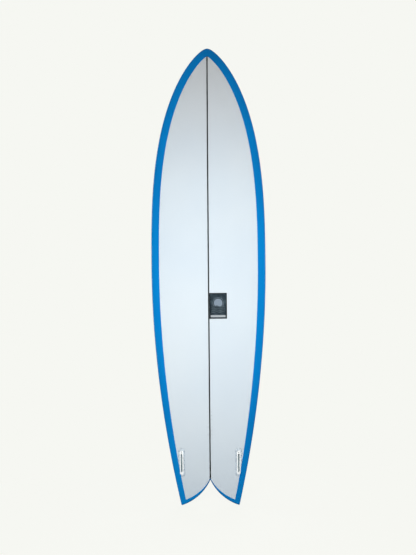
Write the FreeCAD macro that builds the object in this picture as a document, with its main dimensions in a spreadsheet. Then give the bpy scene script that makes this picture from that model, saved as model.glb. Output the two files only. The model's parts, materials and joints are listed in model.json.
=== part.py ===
import FreeCAD, Part

import math
import os

import Sketcher

# A mid-length surfboard with a swallow tail and two fin boxes, in millimetres.
# Frame: origin on the stringer line of the bottom at mid-length, +Z to the nose,
# +Y to the deck, +X to the right-hand rail when one looks at the bottom with the nose up.

Vector = FreeCAD.Vector
doc = FreeCAD.newDocument("Surfboard")

# ---------------------------------------------------------------- driving dimensions

SIZES = {
    # plan outline
    "board_length": 2235.0,
    "board_width": 552.0,
    "wide_point": 1070.0,        # from the nose
    "nose_fullness": 2.83,
    "nose_sharpness": 0.703,
    "nose_dub": 1.8,             # how much of the mathematical point is dubbed off
    "tail_pull": 0.49,           # share of the width lost at the tail tips
    "tail_sweep": 1.93,
    "notch_depth": 125.5,
    "notch_radius": 230.0,
    # rocker and thickness, along the stringer
    "nose_rocker": 118.0,
    "nose_rocker_power": 2.45,
    "tail_rocker": 52.0,
    "tail_rocker_power": 2.1,
    "board_thickness": 70.0,
    "nose_thickness": 11.0,
    "tail_thickness": 18.0,
    "foil_power": 1.15,          # how soon the nose thickens
    # cross-section: the rail's height as a share of thickness, and the superellipse powers
    "rail_height": 0.42,
    "rail_height_nose": 0.06,    # added towards the nose
    "rail_height_tail": -0.10,   # added towards the tail
    "bottom_power": 3.6,
    "bottom_power_nose": -1.2,
    "bottom_power_tail": 1.0,
    "deck_power": 2.3,
    "deck_power_tail": 0.3,
    # build-up
    "laminate_thickness": 1.2,
    "foam_inset": 1.5,
    "stringer_thickness": 6.4,
    "bottom_lap": 38.5,
    "deck_lap": 46.0,
    "lap_tail_taper": 0.31,      # share of the lap lost at the tail tips
    # fin boxes
    "box_offset": 138.5,         # from the stringer to the middle of the slot
    "box_from_nose": 2024.5,
    "box_length": 117.0,
    "box_width": 17.0,
    "box_depth": 19.0,
    "flange_length": 140.0,
    "flange_width": 33.0,
    "flange_thickness": 2.0,
    "flange_drop": 1.8,          # the flange lies under the laminate, the rim comes up through it
    "slot_length": 88.6,
    "slot_width": 7.0,
    "slot_depth": 14.0,
    "slot_shift": 1.7,
    "perforation_length": 5.5,
    "perforation_width": 3.2,
    "perforation_pitch": 22.3,
    "perforation_count": 6,
    "perforation_offset": 13.2,
    "bed_gap": 2.0,
    # grub screws
    "screw_radius": 2.44,
    "screw_hole_radius": 2.5,
    "screw_length": 8.0,
    "screw_recess": 3.4,         # along the screw's axis, from the rim's top
    "screw_position": 51.0,      # from the middle of the box towards the nose
    "screw_slope": 39.0,         # degrees below the rim
    "screw_chamfer": 0.5,
    "screw_bore_rise": 6.0,      # the bore's cutter starts this far outside the rim
    "screw_bore_length": 20.0,
    "hex_socket": 2.5,
    "hex_socket_depth": 3.0,
    # leash plug
    "plug_offset": 36.0,
    "plug_from_nose": 2012.0,
    "plug_radius": 12.5,
    "plug_flange_radius": 14.5,
    "plug_flange_thickness": 1.8,
    "plug_depth": 17.0,
    "cup_radius": 10.0,
    "cup_depth": 14.0,
    "bar_radius": 2.0,
    "bar_length": 23.4,
    "bar_depth": 4.2,
    "bar_clearance": 0.03,
    # logo decal
    "decal_width": 84.0,
    "decal_height": 124.0,
    "decal_thickness": 0.14,
    "decal_below_middle": 147.0,
}

sheet = doc.addObject("Spreadsheet::Sheet", "Sizes")
for row, (alias, value) in enumerate(SIZES.items(), start=1):
    sheet.set(f"A{row}", alias)
    sheet.set(f"B{row}", str(value))
    sheet.setAlias(f"B{row}", alias)
doc.recompute()


def size(alias):
    return float(sheet.get(alias))


LENGTH = size("board_length")
HALF_LENGTH = LENGTH / 2
HALF_WIDTH = size("board_width") / 2
WIDE_POINT = size("wide_point")
SLOPE_STEP = 0.5                 # mm, for slopes by difference
OVERRUN = 25.0                   # the hull runs this far past the tail tips, where the notch cuts it
NOSE_STATIONS = 16
TAIL_STATIONS = 12
BOTTOM_POINTS = 8
DECK_POINTS = 10
NOSE_CROWDING = 2.2              # stations crowd towards the nose by this power
NOSE_STEP = 3                    # an inset hull starts this many insets behind the nose, which is blunt


# ---------------------------------------------------------------- hull shape
# "along" is the distance from the nose, measured down the board.

def aft_share(along):
    return (along - WIDE_POINT) / (LENGTH - WIDE_POINT)


def half_width(along):
    if along > WIDE_POINT:
        return HALF_WIDTH * (1 - size("tail_pull") * aft_share(along) ** size("tail_sweep"))
    dub = size("nose_dub")
    ahead = 1 - (along + dub) / (WIDE_POINT + dub)
    return HALF_WIDTH * (1 - ahead ** size("nose_fullness")) ** size("nose_sharpness")


def outline_slope(along):
    low = max(along - SLOPE_STEP, 0)
    high = along + SLOPE_STEP
    return (half_width(high) - half_width(low)) / (high - low)


def bottom_height(along):
    share = (HALF_LENGTH - along) / HALF_LENGTH
    if share > 0:
        return size("nose_rocker") * share ** size("nose_rocker_power")
    return size("tail_rocker") * (-share) ** size("tail_rocker_power")


def thickness(along):
    full = size("board_thickness")
    if along > WIDE_POINT:
        return full - (full - size("tail_thickness")) * aft_share(along) ** 2
    nose = size("nose_thickness")
    return nose + (full - nose) * (1 - (1 - along / WIDE_POINT) ** 2) ** size("foil_power")


def section_shape(along):
    """Height of the rail's widest point as a share of thickness, and the powers of bottom and deck."""
    rail = size("rail_height")
    bottom_power = size("bottom_power")
    deck_power = size("deck_power")
    if along > WIDE_POINT:
        aft = aft_share(along) ** 2
        rail += size("rail_height_tail") * aft
        bottom_power += size("bottom_power_tail") * aft
        deck_power += size("deck_power_tail") * aft
    else:
        ahead = (1 - along / WIDE_POINT) ** 2
        rail += size("rail_height_nose") * ahead
        bottom_power += size("bottom_power_nose") * ahead
    return rail, bottom_power, deck_power


def section_point(along, turn, inset=0.0):
    """Point of the right half of the section. turn: -1 bottom middle, 0 rail, 1 deck middle."""
    rail, bottom_power, deck_power = section_shape(along)
    reach = half_width(along) - inset * math.hypot(1, outline_slope(along))
    deep = thickness(along)
    rail_height = bottom_height(along) + rail * deep
    angle = abs(turn) * math.pi / 2
    if turn < 0:
        power = 2 / bottom_power
        rise = -(rail * deep - inset)
    else:
        power = 2 / deck_power
        rise = (1 - rail) * deep - inset
    x = reach * max(math.cos(angle), 0) ** power
    y = rail_height + rise * max(math.sin(angle), 0) ** power
    if abs(turn) == 1:
        x = 0
    return Vector(x, y, HALF_LENGTH - along)


def through(points, parameters):
    curve = Part.BSplineCurve()
    curve.interpolate(Points=points, Parameters=parameters)
    return curve


def surface_through(rows, row_parameters, point_parameters):
    """Cubic surface through a grid of points: curves along each row, then curves along their poles."""
    sections = [through(row, point_parameters) for row in rows]
    columns = zip(*[section.getPoles() for section in sections])
    runs = [through(list(column), row_parameters) for column in columns]
    poles = [list(row) for row in zip(*[run.getPoles() for run in runs])]
    surface = Part.BSplineSurface()
    surface.buildFromPolesMultsKnots(
        poles,
        runs[0].getMultiplicities(),
        sections[0].getMultiplicities(),
        runs[0].getKnots(),
        sections[0].getKnots(),
        False,
        False,
        3,
        3,
    )
    return surface


def hull_turns():
    turns = [-1 + k / BOTTOM_POINTS for k in range(BOTTOM_POINTS)]
    return turns + [k / DECK_POINTS for k in range(DECK_POINTS + 1)]


def chord_parameters(points):
    """Distance run along a list of points."""
    runs = [0.0]
    for start, end in zip(points, points[1:]):
        runs.append(runs[-1] + start.distanceToPoint(end))
    return runs


def hull_surface(inset):
    """Right half of the hull's surface, from the nose to past the tail tips."""
    first = NOSE_STEP * inset
    nose_run = WIDE_POINT - first
    tail_run = LENGTH + OVERRUN - WIDE_POINT
    tail_pace = (tail_run / TAIL_STATIONS) / (NOSE_CROWDING * nose_run / NOSE_STATIONS)
    alongs = [first + nose_run * (k / NOSE_STATIONS) ** NOSE_CROWDING for k in range(NOSE_STATIONS)]
    alongs += [WIDE_POINT + tail_run * k / TAIL_STATIONS for k in range(TAIL_STATIONS + 1)]
    row_parameters = [float(k) for k in range(NOSE_STATIONS)]
    row_parameters += [NOSE_STATIONS + tail_pace * k for k in range(TAIL_STATIONS + 1)]
    turns = hull_turns()
    rows = [[section_point(along, turn, inset) for turn in turns] for along in alongs]
    middle = [section_point(WIDE_POINT, turn) for turn in turns]
    return surface_through(rows, row_parameters, chord_parameters(middle))


def hull_solid(inset):
    """Board without its tail notch, all its faces inset by the given depth."""
    right = hull_surface(inset).toShape()
    left = right.mirror(Vector(0, 0, 0), Vector(1, 0, 0))
    ends = []
    for z in (HALF_LENGTH - NOSE_STEP * inset, -HALF_LENGTH - OVERRUN):
        rim = [edge for face in (right, left) for edge in face.Edges
               if all(abs(vertex.Z - z) < 1e-3 for vertex in edge.Vertexes)]
        ends.append(Part.Face(Part.Wire(rim)))
    shell = Part.makeShell([right, left] + ends)
    shell.sewShape()
    solid = Part.makeSolid(shell)
    if solid.Volume < 0:
        solid.reverse()
    return solid


# ---------------------------------------------------------------- cutting tools

FAR_BELOW = -80.0                # clear of the hull on the bottom's side
FAR_ABOVE = 260.0                # and on the deck's side
FAR_OUT = 400.0                  # clear of the rails
FAR_AFT = -HALF_LENGTH - 80.0
CROTCH_Z = -HALF_LENGTH + size("notch_depth")
TIP_X = half_width(LENGTH)
LAP_CROTCH_GAP = 7.0             # blue left at the crotch
LAP_CORNER_X = 122.0             # lower corner of the white field
LAP_CORNER_Z = CROTCH_Z - 97.5
LAP_POINTS = 24
LAP_CROWDING = 1.6               # its points crowd towards the nose by this power
PAST_TIP = 30.0                  # the notch's arcs run this far past the tips
PARTING_HEIGHT = 0.45            # height of the surface between bottom and deck, as a share of thickness
PARTING_POINTS = 20


def upright_prism(edges):
    """Solid of a closed outline in the plan plane, standing right through the board."""
    face = Part.Face(Part.Wire(Part.sortEdges(edges)[0]))
    face.translate(Vector(0, FAR_BELOW, 0))
    return face.extrude(Vector(0, FAR_ABOVE - FAR_BELOW, 0))


def notch_tool(crotch_z, tip_x, tip_z, inset=0.0):
    """Swallow-tail notch: one arc each side, from the crotch through the tip and on past it."""
    radius = size("notch_radius")
    chord = Vector(tip_x, 0, tip_z - crotch_z)
    middle = Vector(tip_x / 2, 0, (tip_z + crotch_z) / 2)
    across = Vector(crotch_z - tip_z, 0, tip_x).normalize()
    centre = middle + across * math.sqrt(radius ** 2 - (chord.Length / 2) ** 2)
    radius -= inset
    crotch = Vector(0, 0, centre.z - math.sqrt(radius ** 2 - centre.x ** 2))
    start = math.atan2(crotch.z - centre.z, crotch.x - centre.x)
    stop = math.atan2(tip_z - centre.z, tip_x - centre.x) + PAST_TIP / radius

    def on_arc(angle, side):
        return Vector(side * (centre.x + radius * math.cos(angle)), 0, centre.z + radius * math.sin(angle))

    half_way = (start + stop) / 2
    edges = [Part.Arc(crotch, on_arc(half_way, side), on_arc(stop, side)).toShape() for side in (1, -1)]
    right_end = on_arc(stop, 1)
    left_end = on_arc(stop, -1)
    corners = [right_end, Vector(right_end.x, 0, FAR_AFT), Vector(left_end.x, 0, FAR_AFT), left_end]
    edges += [Part.LineSegment(a, b).toShape() for a, b in zip(corners, corners[1:])]
    return upright_prism(edges)


def lap_point(along, lap):
    if along > WIDE_POINT:
        lap *= 1 - size("lap_tail_taper") * aft_share(along) ** 2
    slope = outline_slope(along)
    length = math.hypot(1, slope)
    return Vector(half_width(along) - lap / length, 0, HALF_LENGTH - along - lap * slope / length)


def lap_start(lap):
    """Where the lap's inner line meets the stringer line, found by halving."""
    low, high = 0.5, 200.0
    while high - low > 1e-6:
        middle = (low + high) / 2
        if lap_point(middle, lap).x < 0:
            low = middle
        else:
            high = middle
    return high


def lap_tool(lap):
    """Everything inboard of the lap's inner line in plan."""
    first = lap_start(lap)
    run = LENGTH + OVERRUN - first
    points = [lap_point(first + run * (k / LAP_POINTS) ** LAP_CROWDING, lap) for k in range(LAP_POINTS + 1)]
    points[0].x = 0
    mirrored = [Vector(-point.x, 0, point.z) for point in points]
    edges = []
    for side in (points, mirrored):
        spline = Part.BSplineCurve()
        spline.interpolate(side)
        edges.append(spline.toShape())
    edges.append(Part.LineSegment(points[-1], mirrored[-1]).toShape())
    inner_notch = notch_tool(CROTCH_Z + LAP_CROTCH_GAP, LAP_CORNER_X, LAP_CORNER_Z)
    return upright_prism(edges).cut(inner_notch)


def half_space(deck_side):
    """All that lies on one side of the board's curved parting surface."""
    line = []
    for k in range(PARTING_POINTS + 1):
        along = LENGTH * k / PARTING_POINTS
        height = bottom_height(along) + PARTING_HEIGHT * thickness(along)
        line.append(Vector(-FAR_OUT, height, HALF_LENGTH - along))
    line.insert(0, line[0] * 2 - line[1])
    line.append(line[-1] * 2 - line[-2])
    spline = Part.BSplineCurve()
    spline.interpolate(line)
    far = FAR_ABOVE if deck_side else FAR_BELOW
    corners = [line[-1], Vector(-FAR_OUT, far, line[-1].z), Vector(-FAR_OUT, far, line[0].z), line[0]]
    edges = [spline.toShape()]
    edges += [Part.LineSegment(a, b).toShape() for a, b in zip(corners, corners[1:])]
    return Part.Face(Part.Wire(edges)).extrude(Vector(2 * FAR_OUT, 0, 0))


def slab(x_low, x_high):
    depth = FAR_ABOVE - FAR_BELOW
    tall = 2 * HALF_LENGTH + 200
    return Part.makeBox(x_high - x_low, depth, tall, Vector(x_low, FAR_BELOW, -tall / 2))


# ---------------------------------------------------------------- sketches and bodies

def origin_plane(body, role):
    return next(feature for feature in body.Origin.OriginFeatures if feature.Role == role)


def new_sketch(body, name, role="XY_Plane"):
    sketch = body.newObject("Sketcher::SketchObject", name)
    sketch.AttachmentSupport = [(origin_plane(body, role), "")]
    sketch.MapMode = "FlatFace"
    return sketch


def bind(sketch, index, name, expression):
    sketch.renameConstraint(index, name)
    sketch.setExpression(f"Constraints.{name}", expression)


def add_circle(sketch, radius, at_x="0 mm"):
    """Circle on the sketch's horizontal axis. Sizes are expressions."""
    circle = sketch.addGeometry(Part.Circle(Vector(1, 0, 0), Vector(0, 0, 1), 1.0), False)
    sketch.addConstraint(Sketcher.Constraint("PointOnObject", circle, 3, -1))
    index = sketch.addConstraint(Sketcher.Constraint("Radius", circle, 1.0))
    bind(sketch, index, f"radius{circle}", radius)
    index = sketch.addConstraint(Sketcher.Constraint("DistanceX", -1, 1, circle, 3, 1.0))
    bind(sketch, index, f"place{circle}", at_x)


def add_outline(sketch, corners):
    """Closed outline of straight lines."""
    lines = [sketch.addGeometry(Part.LineSegment(a, b), False)
             for a, b in zip(corners, corners[1:] + corners[:1])]
    for line, following in zip(lines, lines[1:] + lines[:1]):
        sketch.addConstraint(Sketcher.Constraint("Coincident", line, 2, following, 1))
    return lines


def add_hexagon(sketch, across_flats):
    """Hexagon about the sketch's origin, with corners on its horizontal axis."""
    reach = 1 / math.cos(math.pi / 6)
    corners = [Vector(math.cos(k * math.pi / 3), math.sin(k * math.pi / 3), 0) * reach for k in range(6)]
    lines = add_outline(sketch, corners)
    circle = sketch.addGeometry(Part.Circle(Vector(0, 0, 0), Vector(0, 0, 1), reach), True)
    sketch.addConstraint(Sketcher.Constraint("Coincident", circle, 3, -1, 1))
    for line in lines:
        sketch.addConstraint(Sketcher.Constraint("PointOnObject", line, 1, circle))
    for line in lines[1:]:
        sketch.addConstraint(Sketcher.Constraint("Equal", lines[0], line))
    sketch.addConstraint(Sketcher.Constraint("PointOnObject", lines[0], 1, -1))
    index = sketch.addConstraint(Sketcher.Constraint("Radius", circle, reach))
    bind(sketch, index, "corner_radius", f"{across_flats} / 2 / cos(30)")


def add_oblong(sketch, length, width, at_x="0", at_y="0"):
    """Round-ended slot outline, its long way along the sketch's horizontal axis."""
    up = Vector(0, 0, 1)
    right = sketch.addGeometry(
        Part.ArcOfCircle(Part.Circle(Vector(5, 3, 0), up, 1), -math.pi / 2, math.pi / 2), False)
    left = sketch.addGeometry(
        Part.ArcOfCircle(Part.Circle(Vector(-5, 3, 0), up, 1), math.pi / 2, 3 * math.pi / 2), False)
    top = sketch.addGeometry(Part.LineSegment(Vector(-5, 4, 0), Vector(5, 4, 0)), False)
    low = sketch.addGeometry(Part.LineSegment(Vector(-5, 2, 0), Vector(5, 2, 0)), False)
    sketch.addConstraint(Sketcher.Constraint("Tangent", right, 2, top, 2))
    sketch.addConstraint(Sketcher.Constraint("Tangent", left, 1, top, 1))
    sketch.addConstraint(Sketcher.Constraint("Tangent", right, 1, low, 2))
    sketch.addConstraint(Sketcher.Constraint("Tangent", left, 2, low, 1))
    sketch.addConstraint(Sketcher.Constraint("Horizontal", top))
    sketch.addConstraint(Sketcher.Constraint("Horizontal", low))
    half_run = f"({length} - {width}) / 2"
    for name, constraint, expression in (
        ("radius", Sketcher.Constraint("Radius", right, 1.0), f"{width} / 2"),
        ("right_x", Sketcher.Constraint("DistanceX", -1, 1, right, 3, 5.0), f"{at_x} + {half_run}"),
        ("left_x", Sketcher.Constraint("DistanceX", -1, 1, left, 3, -5.0), f"{at_x} - {half_run}"),
        ("right_y", Sketcher.Constraint("DistanceY", -1, 1, right, 3, 3.0), at_y),
    ):
        index = sketch.addConstraint(constraint)
        bind(sketch, index, f"{name}{right}", expression)


def pad_down(body, sketch, name, depth):
    pad = body.newObject("PartDesign::Pad", name)
    pad.Profile = sketch
    pad.Reversed = True
    pad.setExpression("Length", depth)
    return pad


def removed_by(body, feature):
    """Recomputes and insists that a cutting feature took something away."""
    before = feature.BaseFeature.Shape.Volume
    doc.recompute()
    if feature.Shape.Volume > before - 0.1:
        raise RuntimeError(f"{body.Label}: {feature.Name} cuts nothing")


def pocket_down(body, sketch, name, depth):
    pocket = body.newObject("PartDesign::Pocket", name)
    pocket.Profile = sketch
    pocket.setExpression("Length", depth)
    removed_by(body, pocket)
    return pocket


def new_body(label, placement):
    body = doc.addObject("PartDesign::Body", label)
    body.Label = label
    body.Placement = placement
    doc.recompute()
    return body


def solid_part(label, shape):
    """A laid-up or shaped piece, whose form is the hull's own."""
    part = doc.addObject("Part::Feature", label)
    part.Label = label
    part.Shape = shape.removeSplitter() if len(shape.Solids) != 1 else shape.Solids[0]
    part.Placement = FreeCAD.Placement()
    return part


# ---------------------------------------------------------------- where the fittings sit

def frame_on(surface, across, along, deck_side, sink):
    """Frame on the hull: Z out of the surface, X towards the nose."""
    height = bottom_height(along) + (thickness(along) if deck_side else 0)
    guess = Vector(abs(across), height, HALF_LENGTH - along)
    u, v = surface.parameter(guess)
    normal = surface.normal(u, v)
    if (normal.y > 0) != deck_side:
        normal = -normal
    point = surface.value(u, v) - normal * sink
    if across < 0:
        point.x, normal.x = -point.x, -normal.x
    forward = Vector(0, 0, 1)
    forward = (forward - normal * normal.dot(forward)).normalize()
    return FreeCAD.Placement(point, FreeCAD.Rotation(forward, normal.cross(forward), normal, "ZXY"))


FITTING_SINK = 0.15              # a flat rim lies this far under the crowned surface
skin_surface = hull_surface(0)
SIDES = {"left": -1, "right": 1}
box_frames = {
    side: frame_on(skin_surface, sign * size("box_offset"), size("box_from_nose"), False, FITTING_SINK)
    for side, sign in SIDES.items()
}
plug_frame = frame_on(skin_surface, size("plug_offset"), size("plug_from_nose"), True, FITTING_SINK)


# ---------------------------------------------------------------- fin boxes

def make_fin_box(label, placement):
    body = new_body(label, placement)

    flange = new_sketch(body, label + "_flange")
    flange.setExpression("AttachmentOffset.Base.z", "-Sizes.flange_drop")
    add_oblong(flange, "Sizes.flange_length", "Sizes.flange_width")
    pad_down(body, flange, label + "_flange_pad", "Sizes.flange_thickness")

    well = new_sketch(body, label + "_well")
    add_oblong(well, "Sizes.box_length", "Sizes.box_width")
    pad_down(body, well, label + "_well_pad", "Sizes.box_depth")
    doc.recompute()

    slot = new_sketch(body, label + "_slot")
    add_oblong(slot, "Sizes.slot_length", "Sizes.slot_width", "-Sizes.slot_shift")
    pocket_down(body, slot, label + "_slot_pocket", "Sizes.slot_depth")

    holes = new_sketch(body, label + "_perforations")
    holes.setExpression("AttachmentOffset.Base.z", "-Sizes.flange_drop")
    first_x = "-Sizes.perforation_pitch * (Sizes.perforation_count - 1) / 2"
    for at_y in ("Sizes.perforation_offset", "-Sizes.perforation_offset"):
        add_oblong(holes, "Sizes.perforation_length", "Sizes.perforation_width", first_x, at_y)
    first_holes = pocket_down(body, holes, label + "_perforation_pocket", "Sizes.flange_thickness")
    pattern = body.newObject("PartDesign::LinearPattern", label + "_perforation_rows")
    pattern.Originals = [first_holes]
    pattern.Direction = (holes, ["H_Axis"])
    pattern.setExpression("Length", "Sizes.perforation_pitch * (Sizes.perforation_count - 1)")
    pattern.setExpression("Occurrences", "Sizes.perforation_count")
    body.Tip = pattern
    doc.recompute()

    # a half-section of the screw's hole, turned about its slanted axis
    bore = new_sketch(body, label + "_screw_hole", "XZ_Plane")
    slope = math.radians(size("screw_slope"))
    inward = Vector(-math.cos(slope), -math.sin(slope), 0)
    beside = Vector(-inward.y, inward.x, 0) * size("screw_hole_radius")
    start = Vector(size("screw_position"), 0, 0) - inward * size("screw_bore_rise")
    stop = start + inward * size("screw_bore_length")
    lines = add_outline(bore, [start, stop, stop + beside, start + beside])
    for line, following in zip(lines, lines[1:]):
        bore.addConstraint(Sketcher.Constraint("Perpendicular", line, following))
    for name, constraint, expression in (
        ("bore_x", Sketcher.Constraint("DistanceX", -1, 1, lines[0], 1, start.x),
         "Sizes.screw_position + Sizes.screw_bore_rise * cos(Sizes.screw_slope)"),
        ("bore_y", Sketcher.Constraint("DistanceY", -1, 1, lines[0], 1, start.y),
         "Sizes.screw_bore_rise * sin(Sizes.screw_slope)"),
        ("bore_length", Sketcher.Constraint("Distance", lines[0], size("screw_bore_length")),
         "Sizes.screw_bore_length"),
        ("bore_slope", Sketcher.Constraint("Angle", -1, 1, lines[0], 2, slope),
         "Sizes.screw_slope * 1 deg"),
        ("bore_radius", Sketcher.Constraint("Distance", lines[1], size("screw_hole_radius")),
         "Sizes.screw_hole_radius"),
    ):
        bind(bore, bore.addConstraint(constraint), name, expression)
    groove = body.newObject("PartDesign::Groove", label + "_screw_groove")
    groove.Profile = bore
    groove.ReferenceAxis = (bore, ["Edge1"])
    groove.Angle = 360
    removed_by(body, groove)
    return body


def screw_frame(box_frame):
    """Frame of the grub screw: Z along it and outwards, origin at its socket end."""
    slope = math.radians(size("screw_slope"))
    inward = Vector(-math.cos(slope), 0, -math.sin(slope))
    start = Vector(size("screw_position"), 0, 0) + inward * size("screw_recess")
    local = FreeCAD.Placement(start, FreeCAD.Rotation(Vector(0, 0, 1), -inward))
    return box_frame.multiply(local)


def make_screw(label, placement):
    body = new_body(label, placement)
    shank = new_sketch(body, label + "_shank")
    add_circle(shank, "Sizes.screw_radius")
    pad_down(body, shank, label + "_shank_pad", "Sizes.screw_length")
    doc.recompute()

    socket = new_sketch(body, label + "_socket")
    add_hexagon(socket, "Sizes.hex_socket")
    hollow = pocket_down(body, socket, label + "_socket_pocket", "Sizes.hex_socket_depth")

    rims = [f"Edge{k}" for k, edge in enumerate(hollow.Shape.Edges, start=1)
            if isinstance(edge.Curve, Part.Circle) and abs(edge.Curve.Radius - size("screw_radius")) < 1e-6]
    chamfer = body.newObject("PartDesign::Chamfer", label + "_chamfer")
    chamfer.Base = (hollow, rims)
    chamfer.setExpression("Size", "Sizes.screw_chamfer")
    doc.recompute()
    return body


# ---------------------------------------------------------------- leash plug

def make_plug_cup(placement):
    body = new_body("leash_plug_cup", placement)
    for part, radius, depth in (
        ("flange", "Sizes.plug_flange_radius", "Sizes.plug_flange_thickness"),
        ("wall", "Sizes.plug_radius", "Sizes.plug_depth"),
    ):
        sketch = new_sketch(body, "cup_" + part)
        add_circle(sketch, radius)
        pad_down(body, sketch, "cup_" + part + "_pad", depth)
        doc.recompute()
    hollow = new_sketch(body, "cup_hollow")
    add_circle(hollow, "Sizes.cup_radius")
    pocket_down(body, hollow, "cup_hollow_pocket", "Sizes.cup_depth")

    # seats for the bar, blind in the wall on both sides
    seat = new_sketch(body, "cup_bar_seat", "YZ_Plane")
    circle = seat.addGeometry(Part.Circle(Vector(0, -4, 0), Vector(0, 0, 1), 2.0), False)
    seat.addConstraint(Sketcher.Constraint("PointOnObject", circle, 3, -2))
    index = seat.addConstraint(Sketcher.Constraint("Radius", circle, 2.0))
    bind(seat, index, "seat_radius", "Sizes.bar_radius + Sizes.bar_clearance")
    index = seat.addConstraint(Sketcher.Constraint("DistanceY", -1, 1, circle, 3, -4.0))
    bind(seat, index, "seat_depth", "-Sizes.bar_depth")
    bore = body.newObject("PartDesign::Pocket", "cup_bar_pocket")
    bore.Profile = seat
    bore.Midplane = True
    bore.setExpression("Length", "Sizes.bar_length + 2 * Sizes.bar_clearance")
    removed_by(body, bore)
    return body


def make_plug_bar(placement):
    bar = doc.addObject("Part::Cylinder", "leash_plug_bar")
    bar.Label = "leash_plug_bar"
    bar.setExpression("Radius", "Sizes.bar_radius")
    bar.setExpression("Height", "Sizes.bar_length")
    start = Vector(-size("bar_length") / 2, 0, -size("bar_depth"))
    bar.Placement = placement.multiply(FreeCAD.Placement(start, FreeCAD.Rotation(Vector(0, 1, 0), 90)))
    return bar


# ---------------------------------------------------------------- pockets for the potted fittings

def oblong_solid(length, width, depth, rise=0.0):
    """Round-ended block under the local XY plane."""
    run = length - width
    block = Part.makeBox(run, width, depth + rise, Vector(-run / 2, -width / 2, -depth))
    for x in (-run / 2, run / 2):
        block = block.fuse(Part.makeCylinder(width / 2, depth + rise, Vector(x, 0, -depth)))
    return block.removeSplitter()


def round_solid(radius, depth, rise=0.0):
    return Part.makeCylinder(radius, depth + rise, Vector(0, 0, -depth))


def placed(shape, placement):
    shape = shape.copy()
    shape.Placement = placement
    return shape


RISE = 6.0                       # cutters reach this far out of the surface
RIM_CLEARANCE = 0.1              # between a box's rim and the laminate round it
GLUE_LINE = 0.3                  # between the stringer and the decal's edge
BED_GAP = size("bed_gap")
flange_foot = size("flange_drop") + size("flange_thickness")
box_pocket = oblong_solid(
    size("flange_length") + 2 * BED_GAP, size("flange_width") + 2 * BED_GAP, flange_foot + BED_GAP / 2, RISE)
well_pocket = oblong_solid(
    size("box_length") + 2 * BED_GAP, size("box_width") + 2 * BED_GAP, size("box_depth") + BED_GAP / 2)
box_pocket = box_pocket.fuse(well_pocket)
box_envelope = oblong_solid(size("flange_length"), size("flange_width"), flange_foot, RISE)
box_envelope = box_envelope.fuse(oblong_solid(size("box_length"), size("box_width"), size("box_depth")))
rim_hole = oblong_solid(
    size("box_length") + 2 * RIM_CLEARANCE, size("box_width") + 2 * RIM_CLEARANCE, flange_foot, RISE)
plug_pocket = round_solid(size("plug_flange_radius") + BED_GAP, size("plug_depth") + BED_GAP / 2, RISE)
plug_envelope = round_solid(size("plug_flange_radius"), size("plug_flange_thickness"), RISE)
plug_envelope = plug_envelope.fuse(round_solid(size("plug_radius"), size("plug_depth")))


# ---------------------------------------------------------------- build

def board_solid(inset):
    return hull_solid(inset).cut(notch_tool(CROTCH_Z, TIP_X, -HALF_LENGTH, inset))


outer = board_solid(0)
laminate = outer.cut(board_solid(size("laminate_thickness")))
shaped_blank = board_solid(size("foam_inset"))
bottom_field = lap_tool(size("bottom_lap")).common(half_space(False))
deck_field = lap_tool(size("deck_lap")).common(half_space(True))

core = shaped_blank.cut([placed(box_pocket, frame) for frame in box_frames.values()])
core = core.cut(placed(plug_pocket, plug_frame))
laminate = laminate.cut([placed(rim_hole, frame) for frame in box_frames.values()])
laminate = laminate.cut(placed(plug_pocket, plug_frame))
wrap = laminate.cut([bottom_field, deck_field])
half_stringer = size("stringer_thickness") / 2

subparts = [
    solid_part("foam_blank_left", core.common(slab(-FAR_OUT, -half_stringer))),
    solid_part("foam_blank_right", core.common(slab(half_stringer, FAR_OUT))),
    solid_part("stringer", core.common(slab(-half_stringer, half_stringer))),
    solid_part("bottom_laminate", laminate.common(bottom_field)),
    solid_part("deck_laminate", laminate.common(deck_field)),
    solid_part("rail_wrap_left", wrap.common(slab(-FAR_OUT, 0))),
    solid_part("rail_wrap_right", wrap.common(slab(0, FAR_OUT))),
]

for side, frame in box_frames.items():
    bed = placed(box_pocket, frame).common(shaped_blank).cut(placed(box_envelope, frame))
    subparts.append(solid_part(f"fin_box_bed_{side}", bed))
    subparts.append(make_fin_box(f"fin_box_{side}", frame))
    subparts.append(make_screw(f"fin_screw_{side}", screw_frame(frame)))

plug_bed = placed(plug_pocket, plug_frame).common(outer).cut(placed(plug_envelope, plug_frame))
subparts.append(solid_part("leash_plug_bed", plug_bed))
subparts.append(make_plug_cup(plug_frame))
subparts.append(make_plug_bar(plug_frame))

# the decal is a sheet of paper in the resin line between foam and glass
middle_inset = (size("laminate_thickness") + size("foam_inset")) / 2
half_sheet = size("decal_thickness") / 2
decal_corner = Vector(
    half_stringer + GLUE_LINE, FAR_BELOW, -size("decal_below_middle") - size("decal_height") / 2)
bottom_reach = size("board_thickness") / 2 - FAR_BELOW
decal_block = Part.makeBox(size("decal_width"), bottom_reach, size("decal_height"), decal_corner)
decal = decal_block.common(hull_solid(middle_inset - half_sheet)).cut(hull_solid(middle_inset + half_sheet))
subparts.append(solid_part("logo_decal", decal))


# ---------------------------------------------------------------- check and write

doc.recompute()
for item in doc.Objects:
    if "Invalid" in item.State or "Error" in item.State:
        raise RuntimeError(f"{item.Label} did not recompute: {item.State}")
os.makedirs("parts", exist_ok=True)
for part in subparts:
    shape = part.Shape
    if shape.isNull() or not shape.isValid() or len(shape.Solids) != 1:
        raise RuntimeError(f"{part.Label} is not one valid solid")
    shape.exportStep(f"parts/{part.Label}.step")
    print(f"{part.Label}: {shape.Volume / 1000:.2f} cm3")
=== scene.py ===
import json
import math

import bmesh
import bpy
import numpy as np
from mathutils import Matrix, Vector


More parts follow.
